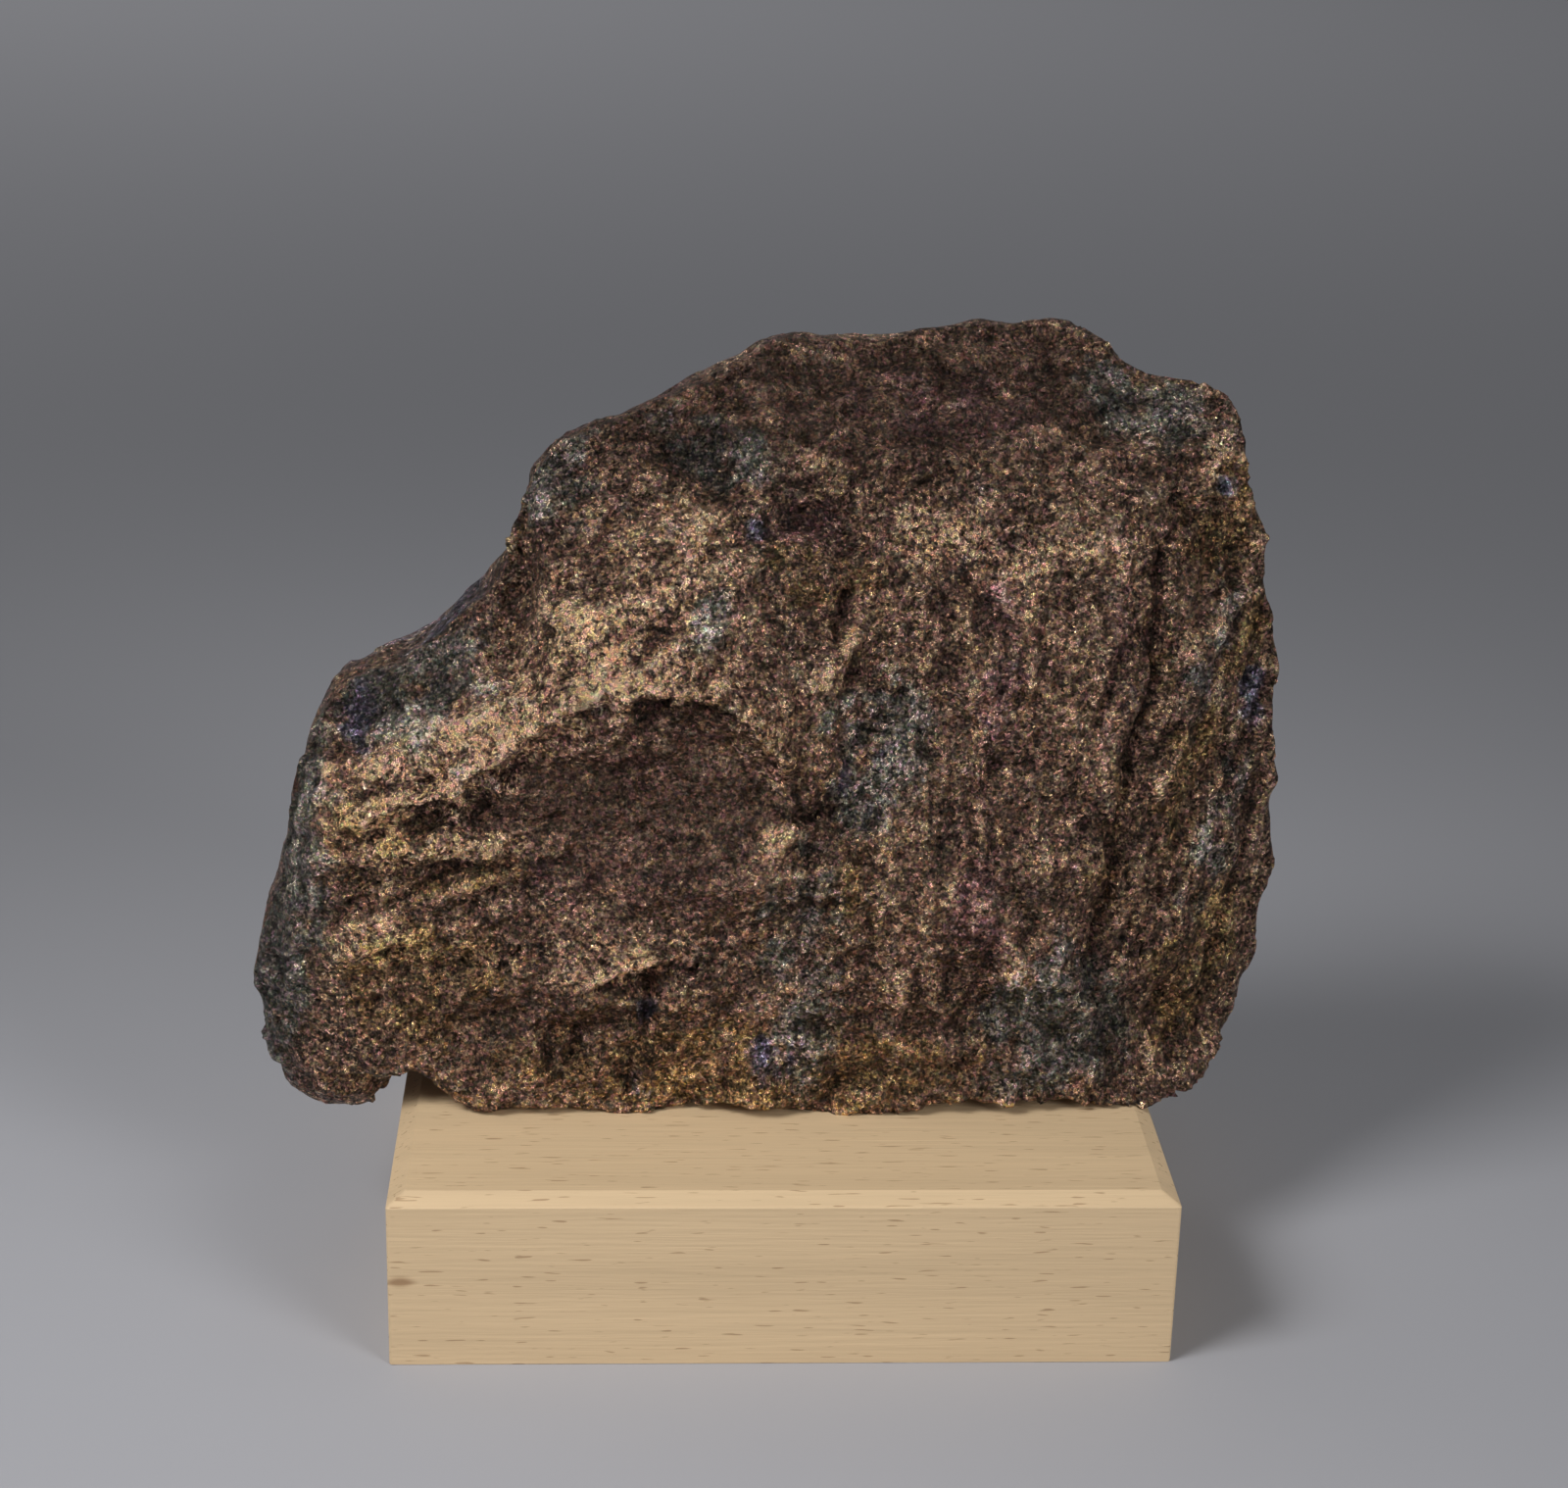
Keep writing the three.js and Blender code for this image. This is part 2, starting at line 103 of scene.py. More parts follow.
RIDGES = (
    Mark(((-26, 57.5), (-22, 60), (-17, 60.8), (-10, 60.8), (-5.5, 59)), 3.2, 0.5),
    Mark(((1.6, 51.6), (-0.1, 50.4), (-1.6, 49.2)), 0.9, 0.8),
    Mark(((4.1, 66.8), (5.1, 68.8), (6.5, 69.9)), 1.0, 0.9),
    Mark(((45.4, 69.8), (43.6, 61.8), (41.2, 53.9), (40.7, 45)), 0.9, 0.4),
    Mark(((48.2, 73.4), (47.2, 63), (45.4, 54.8)), 0.8, 0.35),
    Mark(((49.6, 60.5), (48.6, 53.2), (46.9, 46.1)), 0.8, 0.25),
    Mark(((-47.1, 59.6), (-47.4, 54.1), (-48.7, 46.8), (-49.7, 40.4), (-50.4, 32.7)), 1.0, 0.6),
    Mark(((-51.2, 36.9), (-52, 31.3), (-52.9, 25.1)), 0.7, 0.4),
)

# Edges where the skin breaks off: it rises to the path on its left-hand side and drops on the other.
LEDGES = (
    Mark(((-43.1, 51.4), (-36.5, 53.7), (-33.9, 54.6), (-32.1, 56.5), (-29.3, 57.7), (-26, 59.3)), 2.2, 1.1),
    Mark(((-28, 58.6), (-24.6, 61.7), (-22, 64.6), (-14, 65.3), (-6, 64.2), (-3, 61.8)), 2.0, 0.9),
    Mark(((-45.5, 49.4), (-43.1, 50)), 1.2, 0.6),
    Mark(((-42.1, 46.6), (-39.7, 47.4), (-37.2, 47.2), (-34.7, 48)), 1.4, 0.45),
    Mark(((-35.4, 48.9), (-33.2, 49.3), (-30.4, 48.6)), 1.2, 0.5),
    Mark(((-34.7, 45.4), (-31.2, 46.6), (-28, 47.6)), 1.2, 0.4),
    Mark(((-42, 36.6), (-39.4, 38.2), (-37.4, 39.3)), 1.5, 0.7),
    Mark(((-20.5, 33.3), (-17.9, 34.1), (-14.6, 35.6), (-11.2, 36.3)), 2.0, 0.9),
    Mark(((-4, 62.6), (-0.3, 57), (2.3, 54.1)), 1.6, 0.7),
    Mark(((17.2, 78.4), (18.2, 77), (19.8, 75.1), (21.8, 73.3), (23.8, 70.9), (25.3, 70.2)), 1.6, 0.6),
)

# A ledge has its full height this far from its path, in millimetres, and drops by this share of it. It
# fades out over this distance from its ends.
LEDGE_EDGE = 0.6
LEDGE_DROP = 0.8
LEDGE_FADE = 2.0

# Painted shade in grooves for each millimetre of their depth, and painted shade just below the edge of a
# ledge.
GROOVE_SHADE = 0.8
FOOT_SHADE = 0.6

# Fine streaks in the skin. Middle and reach give an oval on the front, in the marks' own millimetres.
# Lean is the streaks' direction in degrees up from level, spacing is across them, and height is how far
# they stand out.
Streaks = namedtuple("Streaks", "middle reach lean spacing height")

STREAK_LENGTH = 8.0

STREAKS = (
    Streaks((20, 52), (20, 30), 86, 1.2, 0.50),
    Streaks((8, 92), (42, 9), 3, 1.3, 0.28),
    Streaks((-37, 50), (15, 17), 22, 2.0, 0.60),
    Streaks((-14, 44), (24, 14), 8, 1.5, 0.26),
    Streaks((46, 52), (10, 40), 72, 1.6, 0.45),
    Streaks((-52, 42), (5, 26), 80, 1.3, 0.40),
    Streaks((-17, 71), (15, 13), 38, 1.8, 0.55),
    Streaks((-5, 26), (40, 9), 8, 1.8, 0.30),
)

# An oval covers fully within this share of its reach, and nothing beyond the other share.
OVAL_FULL = 0.6
OVAL_NONE = 1.35

# Roughness of the whole skin. Size is how wide a layer's facets or lumps are, and height is how far they
# stand out, in millimetres.
Layer = namedtuple("Layer", "size height")

FACETS = (Layer(4.4, 0.70), Layer(1.9, 0.34))
LUMPS = (Layer(6.0, 0.30), Layer(1.4, 0.10))

# A slow sway of the whole skin, in all directions.
SWAY = Layer(9.0, 0.8)

# How the marks wander from their paths, and how many times as far the facets' edges do.
WANDER = Layer(3.0, 0.7)
FACET_BEND = 1.3

# How many rounds of smoothing take the flat faces out of the solid's shape.
SOFTENING = 8

# What is left of the roughness off the front, and what a fully calm place takes away from it.
ROUGH_BEHIND = 0.3
CALM_TAKES = 0.6

# The painted relief shading is at its full lightness or darkness this far out or in, in millimetres.
RELIEF_SHADE_LIMIT = 0.7

# Patches on the front: ovals like the streaks' ones, with how strongly each one shows.
Patch = namedtuple("Patch", "middle reach lean amount")

# Where the break is smoother than elsewhere: the hollow under the brow, the flat right half, the foot
# and the right rim.
CALM = (
    Patch((-13, 49), (16, 12), 0, 1.0),
    Patch((23, 55), (13, 26), 86, 0.6),
    Patch((0, 28), (30, 8), 0, 0.4),
    Patch((53, 55), (5, 30), 88, 1.0),
)

# Gold, mauve, grey and blue are colours. The other two are painted light: the painted highlight makes the
# grains lighter where light falls, and the painted shade makes them darker where shade falls.
TARNISH_AND_LIGHT = {
    "gold": (
        Patch((-31, 45), (7, 2), 12, 0.5),
        Patch((-36, 44), (1.8, 1.4), 0, 1.0),
        Patch((-2, 24), (26, 5), 0, 0.9),
        Patch((4, 76), (6, 3), 0, 0.7),
        Patch((46, 81), (4, 6), 75, 1.0),
        Patch((45, 33), (5, 10), 72, 0.9),
        Patch((-37, 34), (9, 8), 0, 0.7),
        Patch((7, 44), (3, 6), 90, 0.6),
        Patch((39, 65), (1.5, 7), 82, 0.5),
        Patch((49, 68), (2, 5), 80, 0.9),
        Patch((43, 54), (2.5, 9), 80, 0.8),
        Patch((35, 46), (3, 10), 85, 0.4),
        Patch((-40, 46), (6, 9), 20, 0.4),
    ),
    "mauve": (
        Patch((-12, 59), (13, 4), -4, 0.35),
        Patch((2, 81), (3.4, 2.4), 0, 1.0),
        Patch((22, 67), (2, 12), 88, 0.7),
        Patch((34, 67), (1.5, 9), 85, 0.6),
        Patch((21, 41), (3, 6), 88, 0.7),
        Patch((-15, 45), (12, 5), 0, 0.3),
        Patch((17, 91), (10, 3), 0, 0.7),
    ),
    "grey": (
        Patch((-24, 85), (4, 6), 60, 0.9),
        Patch((-7, 87), (7, 2.6), -10, 0.9),
        Patch((-8, 72), (3.2, 2.2), 25, 0.8),
        Patch((-38, 64), (9, 5), 30, 0.9),
        Patch((10, 58), (5, 9), 75, 0.8),
        Patch((3, 36), (4, 14), 88, 0.6),
        Patch((29, 29), (9, 8), 15, 0.9),
        Patch((-52, 38), (4, 24), 81, 1.0),
        Patch((45, 68), (2.2, 9), 74, 0.6),
        Patch((47, 48), (2.5, 10), 74, 0.6),
        Patch((38, 91), (8, 3.4), -14, 0.8),
    ),
    "blue": (
        Patch((-3, 81), (1.6, 1.3), 0, 0.9),
        Patch((-44, 60), (1.8, 3), 90, 0.9),
        Patch((0, 26), (4, 4), 90, 0.45),
        Patch((50, 61), (1.6, 3), 80, 1.0),
        Patch((-14, 30), (1.2, 2.4), 85, 0.7),
        Patch((9, 55), (3, 3), 60, 0.3),
        Patch((46, 84), (1.2, 1.2), 0, 0.8),
        Patch((-15, 23), (1.4, 1.6), 0, 0.7),
    ),
    # Painted highlight: lighter grains on the bulge, the brow and the ridges that face the light.
    "painted_highlight": (
        Patch((-16, 71), (10, 6.5), 42, 0.8),
        Patch((-22, 66), (11, 4.5), 28, 0.9),
        Patch((-8, 77), (7, 3), 30, 0.6),
        Patch((-39, 57.5), (9, 3), 22, 1.2),
        Patch((-37, 53.4), (9, 2.4), 22, 1.3),
        Patch((-29, 59.5), (7, 3), 32, 1.0),
        Patch((-12, 66.5), (8, 2), 5, 0.7),
        Patch((-40, 48), (5.5, 1.6), 8, 1.1),
        Patch((-31, 48), (5, 1.3), 8, 0.9),
        Patch((-40, 38.6), (3.8, 2), 30, 1.2),
        Patch((16, 80), (6, 3.2), 0, 0.9),
        Patch((28, 78), (10, 4), 0, 0.5),
        Patch((-17, 35.3), (4.2, 2.2), 22, 1.8),
        Patch((5, 68), (1.8, 3), 60, 1.0),
        Patch((-2.5, 59.5), (1.8, 5), -55, 1.0),
        Patch((-0.5, 50), (3, 1.8), 40, 0.9),
        Patch((45, 86), (2.2, 2.4), 60, 0.9),
        Patch((-30, 65), (4, 2), 20, 0.7),
        Patch((44.7, 61.6), (0.6, 2.2), 62, 1.0),
        Patch((49, 68.5), (0.6, 2.4), 70, 1.0),
        Patch((45.4, 38.5), (0.6, 1.8), 40, 0.8),
        Patch((-49.5, 48), (0.6, 8), 80, 0.8),
        Patch((36, 52), (1, 2), 80, 0.7),
    ),
    # Painted shade: darker grains in the hollow under the brow, along the top, low down and on the left face.
    "painted_shade": (
        Patch((-13, 51.5), (14, 11), 0, 0.9),
        Patch((8, 92), (30, 6), 2, 1.0),
        Patch((29, 28), (10, 7), 0, 0.5),
        Patch((-28, 28), (11, 7), 0, 0.5),
        Patch((13, 25), (9, 6), 0, 0.5),
        Patch((-52, 40), (5, 26), 81, 1.0),
        Patch((-38, 64), (9, 6), 30, 0.9),
        Patch((22, 46), (9, 12), 88, 0.2),
        Patch((0, 38), (9, 12), 88, 0.2),
    ),
}

# Tarnish, painted highlight and painted shade off the front come by chance: the size of their patches in
# millimetres and their strength.
CHANCE_SIZE = 14.0
CHANCE_STRENGTH = 0.5

# The mottle that breaks up the tarnish is this wide, and bends a patch's outline this far, in millimetres.
# It bends a small patch only by a share of its smaller reach.
MOTTLE_SIZE = 3.0
PATCH_BEND = 2.5
SMALL_BEND = 0.8

# How much of the painted highlight a grey crust takes away from the grains under it.
GREY_TAKES = 0.7

# Colours of the ore: the dark ground between the grains, and the grains that catch the light.
Tint = namedtuple("Tint", "ground grain")

BRONZE = Tint((1.0, 0.61, 0.43), (1.0, 0.69, 0.43))
TINTS = {
    "gold": Tint((1.0, 0.60, 0.31), (1.0, 0.69, 0.31)),
    "mauve": Tint((1.0, 0.56, 0.47), (1.0, 0.61, 0.50)),
    "grey": Tint((0.85, 0.75, 0.62), (0.95, 0.85, 0.70)),
    "blue": Tint((0.60, 0.53, 0.65), (0.76, 0.73, 0.92)),
}

# How the grains lean in the painted highlight patches: to the left and up.
BRIGHT_LEAN = (-0.28, 0.0, 0.36)

# How often the ore's patterns come in a millimetre.
COARSE_GRAINS = 1.15
FINE_GRAINS = 3.5
CRUMPLES = 0.8
TARNISH_MOTTLE = 0.35

# Lumps of grains that lean together: how wide they are in millimetres, and how far they lean for each
# grain's own tilt.
LUMP_WIDTH = 1.3
LUMP_TILT = 0.75

# How deep the crumpled surface looks.
CRUMPLE_DEPTH = 1.3 * MM

# How strongly each pattern makes the grains brighter or darker, as powers of e.
COARSE_POWER = 9.0
FINE_POWER = 5.4
GRAIN_POWER = 1.8
CLOUD_POWER = 2.0
# Painted relief shading: raised skin gets lighter grains and sunk skin darker ones.
RELIEF_SHADE_POWER = 1.1

# The stage: how far the floor reaches each way, the soft sky, and the square lamps with their width, the
# angle of their beam in degrees, their place and the point they face, in metres.
Lamp = namedtuple("Lamp", "width beam place aim")

FLOOR_REACH = 4.0
SKY_COLOUR = (0.95, 0.97, 1.0, 1.0)
SKY_STRENGTH = 0.16
LAMPS = {
    "key": Lamp(0.26, 50, (-0.40, -0.27, 0.50), (-0.07, -0.09, 0.04)),
    "fill": Lamp(0.26, 37, (0.36, -0.42, 0.26), (0.0, -0.06, 0.04)),
    "wash": Lamp(1.2, 110, (-0.4, 1.2, 1.5), (-0.4, 1.4, 0.0)),
}

# The camera: its lens and sensor in millimetres, its place in metres, and how many degrees it looks down,
# to the right, and leans.
LENS = 69.08
SENSOR = 36.0
CAMERA_PLACE = (-0.01568, -0.29816, 0.1664)
CAMERA_ANGLES = (20.34, 3.07, 1.43)

# Large odd numbers that stir a facet cell's place and the seed into chance values.
CELL_STIR = (73856093, 19349663, 83492791)
SEED_STIR = 2654435761
ROUND_STIR = 2246822519
ROUND_STEP = 374761393


class StoneSettings(bpy.types.PropertyGroup):
    """Sizes and colours of the stone's skin."""

    skin_spacing: FloatProperty(
        name="Skin Spacing",
        description="Distance between the points of the stone's skin",
        default=0.55 * MM,
        min=0.3 * MM,
        unit="LENGTH",
    )
    grain_size: FloatProperty(
        name="Grain Size",
        description="Width of one glittering grain",
        default=0.33 * MM,
        unit="LENGTH",
    )
    grain_tilt: FloatProperty(
        name="Grain Tilt",
        description="How far the grains turn from the skin's own direction",
        default=1.2,
        min=0.0,
        max=3.0,
    )
    seed: IntProperty(
        name="Seed",
        description="Chooses another arrangement of facets",
        default=7,
    )
    brightness: FloatProperty(
        name="Brightness",
        description="Share of the light that the middling grains throw back",
        default=0.165,
        min=0.0,
        max=1.0,
    )


class BlockSettings(bpy.types.PropertyGroup):
    """Sizes and colours of the wooden block."""

    edge_radius: FloatProperty(
        name="Edge Radius",
        description="How far the sharp edges are eased",
        default=0.25 * MM,
        unit="LENGTH",
    )
    wood_colour: FloatVectorProperty(
        name="Wood",
        description="Main colour of the bare wood",
        subtype="COLOR",
        size=3,
        default=(0.63, 0.46, 0.275),
    )
    pore_colour: FloatVectorProperty(
        name="Pores",
        description="Colour of the short pores and of the knot mark",
        subtype="COLOR",
        size=3,
        default=(0.27, 0.145, 0.065),
    )


class StageSettings(bpy.types.PropertyGroup):
    """The floor, the lights and the camera."""

    floor_colour: FloatVectorProperty(
        name="Floor",
        description="Colour of the plain floor",
        subtype="COLOR",
        size=3,
        default=(0.375, 0.375, 0.40),
    )
    key_power: FloatProperty(
        name="Key Light",
        description="Power of the large soft light at the upper left",
        default=0.33,
        unit="POWER",
    )
    fill_power: FloatProperty(
        name="Fill Light",
        description="Power of the weak light at the right",
        default=0.115,
        unit="POWER",
    )
    wash_power: FloatProperty(
        name="Wash Light",
        description="Power of the light on the far floor",
        default=4.25,
        unit="POWER",
    )


class Socket:
    """A node's output that can stand in shader maths with numbers and other outputs."""

    def __init__(self, recipe, output):
        self.recipe = recipe
        self.output = output

    def __getitem__(self, name):
        return Socket(self.recipe, self.output.node.outputs[name])

    def _maths(self, operation, *values):
        return self.recipe.node("ShaderNodeMath", {"operation": operation}, dict(enumerate(values)))

    def __add__(self, other):
        return self._maths("ADD", self, other)

    def __sub__(self, other):
        return self._maths("SUBTRACT", self, other)

    def __mul__(self, other):
        return self._maths("MULTIPLY", self, other)

    def __radd__(self, other):
        return self._maths("ADD", other, self)

    def __rsub__(self, other):
        return self._maths("SUBTRACT", other, self)

    def __rmul__(self, other):
        return self._maths("MULTIPLY", other, self)


class Recipe:
    """A material's node tree, filled in by expressions."""

    def __init__(self, name):
        self.material = bpy.data.materials.new(name)
        self.material.use_nodes = True
        self.tree = self.material.node_tree
        self.tree.nodes.clear()

    def node(self, kind, settings=None, sockets=None, output=0):
        """Adds a node: its settings come first, then the values or links of its sockets."""
        node = self.tree.nodes.new(kind)
        for name, value in (settings or {}).items():
            setattr(node, name, value)
        for name, value in (sockets or {}).items():
            if isinstance(value, Socket):
                self.tree.links.new(value.output, node.inputs[name])
            else:
                node.inputs[name].default_value = value
        return Socket(self, node.outputs[output]) if node.outputs else node

    def mix(self, factor, first, second):
        """A colour between two colours."""
        colours = {0: factor, 6: opaque(first), 7: opaque(second)}
        return self.node("ShaderNodeMix", {"data_type": "RGBA"}, colours, output=2)

    def vector(self, operation, *values):
        """Maths on whole vectors."""
        return self.node("ShaderNodeVectorMath", {"operation": operation}, dict(enumerate(values)))

    def scaled(self, vector, amount):
        """A vector or colour times one number."""
        return self.node("ShaderNodeVectorMath", {"operation": "SCALE"}, {0: vector, "Scale": amount})

    def smooth_step(self, value, low, high):
        """0 below low, 1 above high, and a soft step between them."""
        sockets = {"Value": value, "From Min": low, "From Max": high}
        return self.node("ShaderNodeMapRange", {"interpolation_type": "SMOOTHSTEP"}, sockets)

    def noise(self, place, scale, detail=3.0, roughness=0.5):
        """Soft random values round 0.5; scale is how often they change in a millimetre."""
        sockets = {"Vector": place, "Scale": scale, "Detail": detail, "Roughness": roughness}
        return self.node("ShaderNodeTexNoise", {}, sockets)

    def cells(self, place, scale):
        """Random cells: their Color is one random colour for each cell."""
        return self.node("ShaderNodeTexVoronoi", {}, {"Vector": place, "Scale": scale})

    def attribute(self, name):
        """A value that the mesh carries at each of its points."""
        return self.node("ShaderNodeAttribute", {"attribute_name": name}, output="Fac")

    def finish(self, **sockets):
        """Ends the recipe in one shader and gives its material."""
        shader = self.node("ShaderNodeBsdfPrincipled", {}, sockets)
        self.node("ShaderNodeOutputMaterial", {}, {"Surface": shader})
        return self.material


def opaque(colour):
    """A colour of three numbers with a full fourth one; a link stays as it is."""
    return colour if isinstance(colour, Socket) else (*tuple(colour)[:3], 1.0)


def soft_step(low, high, value):
    """0 below low, 1 above high, and a soft step between them, for arrays; falls where low is the larger."""
    share = np.clip((value - low) / (high - low), 0.0, 1.0)
    return share * share * (3.0 - 2.0 * share)


def smooth_noise(places, size, octaves=4, offset=0.0):
    """Soft fractal noise from about -1 to 1, whose largest lumps are about that size."""
    spots = places / size + offset
    return np.array([noise.fractal(Vector(spot), 0.9, 2.0, octaves) for spot in spots])


def cell_random(cells, seed):
    """Six random numbers from 0 to 1 for each cell, always the same ones for the same cell."""
    keys = cells.astype(np.int64) * np.array(CELL_STIR)
    mixed = np.bitwise_xor.reduce(keys, axis=1) ^ (seed * SEED_STIR)
    numbers = []
    for turn in range(6):
        mixed = (mixed ^ (mixed >> 15)) * ROUND_STIR + ROUND_STEP * (turn + 1)
        mixed &= 0xFFFFFFFF
        numbers.append(((mixed ^ (mixed >> 13)) & 0xFFFF) / 65535.0)
    return np.stack(numbers, axis=1)


def broken_facets(places, size, seed):
    """Randomly tilted flat facets of about that size: how high each point lies, about -1 to 1."""
    home = np.floor(places / size)
    nearest = np.full(len(places), np.inf)
    height = np.zeros(len(places))
    for step in np.ndindex(3, 3, 3):
        cells = home + np.array(step) - 1
        random = cell_random(cells, seed)
        away = places / size - (cells + random[:, :3])
        distance = (away**2).sum(axis=1)
        tilted = (away * (random[:, 3:] * 2 - 1)).sum(axis=1)
        closer = distance < nearest
        nearest = np.where(closer, distance, nearest)
        height = np.where(closer, tilted, height)
    return height


def path_reach(across, up, path):
    """How far each point lies from a path, seen from the front: below 0 on the path's right-hand side."""
    nearest = np.full(len(across), np.inf)
    side = np.ones(len(across))
    for (x0, z0), (x1, z1) in zip(path, path[1:]):
        dx, dz = x1 - x0, z1 - z0
        share = np.clip(((across - x0) * dx + (up - z0) * dz) / (dx * dx + dz * dz), 0.0, 1.0)
        away_x, away_z = across - x0 - share * dx, up - z0 - share * dz
        distance = np.hypot(away_x, away_z)
        side = np.where(distance < nearest, np.sign(dx * away_z - dz * away_x), side)
        nearest = np.minimum(nearest, distance)
    return nearest * side


def end_fade(across, up, path):
    """0 at the path's two ends and 1 away from them."""
    ends = [np.hypot(across - x, up - z) for x, z in (path[0], path[-1])]
    return soft_step(0.0, LEDGE_FADE, np.minimum(*ends))


def oval_cover(across, up, oval):
    """1 in the middle of an oval, 0 outside it, and a soft edge between."""
    lean = math.radians(oval.lean)
    dx, dz = across - oval.middle[0], up - oval.middle[1]
    # A steep oval is turned back by a quarter, because its reach is always given across and up.
    if abs(oval.lean) > 45:
        lean -= math.copysign(math.pi / 2, lean)
    along = dx * math.cos(lean) + dz * math.sin(lean)
    beside = dz * math.cos(lean) - dx * math.sin(lean)
    return soft_step(OVAL_NONE, OVAL_FULL, np.hypot(along / oval.reach[0], beside / oval.reach[1]))


def streak_height(places, streaks, offset):
    """Long narrow lumps that run the way the streaks lean, about -1 to 1."""
    lean = math.radians(streaks.lean)
    x, y, z = places.T
    along = x * math.cos(lean) + z * math.sin(lean)
    beside = z * math.cos(lean) - x * math.sin(lean)
    drawn_out = np.stack([along / STREAK_LENGTH, beside / streaks.spacing, y / (2 * streaks.spacing)], axis=1)
    return smooth_noise(drawn_out, 1.0, 3, offset)


def mesh_points(mesh, kind="co"):
    """The mesh's points or normals as rows of three numbers."""
    numbers = np.zeros(len(mesh.vertices) * 3, np.float32)
    if kind == "co":
        mesh.vertices.foreach_get("co", numbers)
    else:
        mesh.vertex_normals.foreach_get("vector", numbers)
    return numbers.reshape(-1, 3).astype(float)


def free_copy(node, name):
    """A new object with the solid's shape, its split points joined again."""
    shape = bmesh.new()
    shape.from_mesh(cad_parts[node].data)
    bmesh.ops.remove_doubles(shape, verts=shape.verts, dist=SAME_POINT)
    mesh = bpy.data.meshes.new(name)
    shape.to_mesh(mesh)
    shape.free()
    piece = bpy.data.objects.new(name, mesh)
    bpy.context.scene.collection.objects.link(piece)
    return piece


def apply_modifiers(piece):
    """Puts what the modifiers make into the mesh itself."""
    seen = piece.evaluated_get(bpy.context.evaluated_depsgraph_get())
    mesh = bpy.data.meshes.new_from_object(seen)
    piece.modifiers.clear()
    old = piece.data
    piece.data = mesh
    bpy.data.meshes.remove(old)
    mesh.name = piece.name


def even_skin(piece, spacing):
    """Gives the stone an even fine mesh, and softens the solid's own flat faces."""
    remesh = piece.modifiers.new("even", "REMESH")
    remesh.mode = "VOXEL"
    remesh.voxel_size = spacing
    smooth = piece.modifiers.new("soften", "SMOOTH")
    smooth.factor = 0.5
    smooth.iterations = SOFTENING
    apply_modifiers(piece)


def skin_height(places, facing_front, seed):
    """How far each point of the skin stands out in millimetres, how much painted shade its grooves and ledge
    edges give it, and its painted relief shading.
    """
    x, _, z = places.T
    front = soft_step(0.1, 0.5, facing_front)
    wander = [smooth_noise(places, WANDER.size, 3, offset) for offset in (11.0, 47.0)]
    wander = np.stack(wander, axis=1) * WANDER.height
    across, up = x + wander[:, 0], z + wander[:, 1]
    painted_crease_shade = np.zeros(len(places))
    height = np.zeros(len(places))
    streak_shade = np.zeros(len(places))
    for mark in GROOVES + RIDGES:
        profile = np.exp(-((path_reach(across, up, mark.path) / mark.width) ** 2)) * front
        height += profile * mark.height
        # Grooves get painted shade, darker the deeper they are.
        painted_crease_shade = np.maximum(painted_crease_shade, profile * min(1.0, -GROOVE_SHADE * mark.height))
    for mark in LEDGES:
        reach = path_reach(across, up, mark.path)
        fade = end_fade(across, up, mark.path) * front
        slope = np.clip(reach / LEDGE_EDGE, -LEDGE_DROP, 1.0)
        height += slope * np.exp(-np.abs(reach) / mark.width) * fade * mark.height
        # Painted shade just below each ledge's edge, up to 2 mm below it.
        foot = soft_step(0.0, -0.5, reach) * soft_step(-2.0, -0.5, reach)
        painted_crease_shade = np.maximum(painted_crease_shade, foot * fade * FOOT_SHADE)
    for number, streaks in enumerate(STREAKS):
        cover = oval_cover(x, z, streaks) * front
        stripes = cover * streak_height(places, streaks, 5.0 * number)
        height += stripes * streaks.height
        # Streaks that stand out get lighter grains, as painted relief shading.
        streak_shade += 0.5 * stripes
    calm = np.zeros(len(places))
    for patch in CALM:
        calm = np.maximum(calm, patch.amount * oval_cover(across, up, patch))
    bent = places + FACET_BEND * np.stack([wander[:, 0], wander[:, 1], wander[:, 0] - wander[:, 1]], axis=1)
    roughness = np.zeros(len(places))
    for number, layer in enumerate(FACETS):
        roughness += layer.height * broken_facets(bent, layer.size, seed + number)
    for number, layer in enumerate(LUMPS):
        roughness += layer.height * smooth_noise(places, layer.size, 3, 3.0 + 5.0 * number)
    height += roughness * (ROUGH_BEHIND + (1 - ROUGH_BEHIND) * front) * (1 - CALM_TAKES * calm)
    # The third value is the painted relief shading: raised skin lighter, sunk skin darker.
    return height, painted_crease_shade, streak_shade + np.clip(height, -RELIEF_SHADE_LIMIT, RELIEF_SHADE_LIMIT)


def tarnish_and_light_cover(places, facing_front, patches, offset):
    """How strongly one kind of tarnish, painted highlight or painted shade shows at each point: as listed on
    the front, by chance elsewhere.
    """
    x, _, z = places.T
    front = soft_step(-0.1, 0.4, facing_front)
    chance = smooth_noise(places, CHANCE_SIZE, 3, offset)
    mottle = smooth_noise(places, MOTTLE_SIZE, 4, offset + 3.0)
    cover = np.zeros(len(places))
    for patch in patches:
        bend = min(PATCH_BEND, SMALL_BEND * min(patch.reach))
        cover = np.maximum(cover, patch.amount * oval_cover(x + bend * mottle, z - bend * mottle, patch))
    placed = cover * (0.85 + 0.6 * mottle)
    elsewhere = CHANCE_STRENGTH * soft_step(0.1, 0.55, chance)
    return np.clip(front * placed + (1 - front) * elsewhere + 0.10 * mottle, 0.0, 1.0)


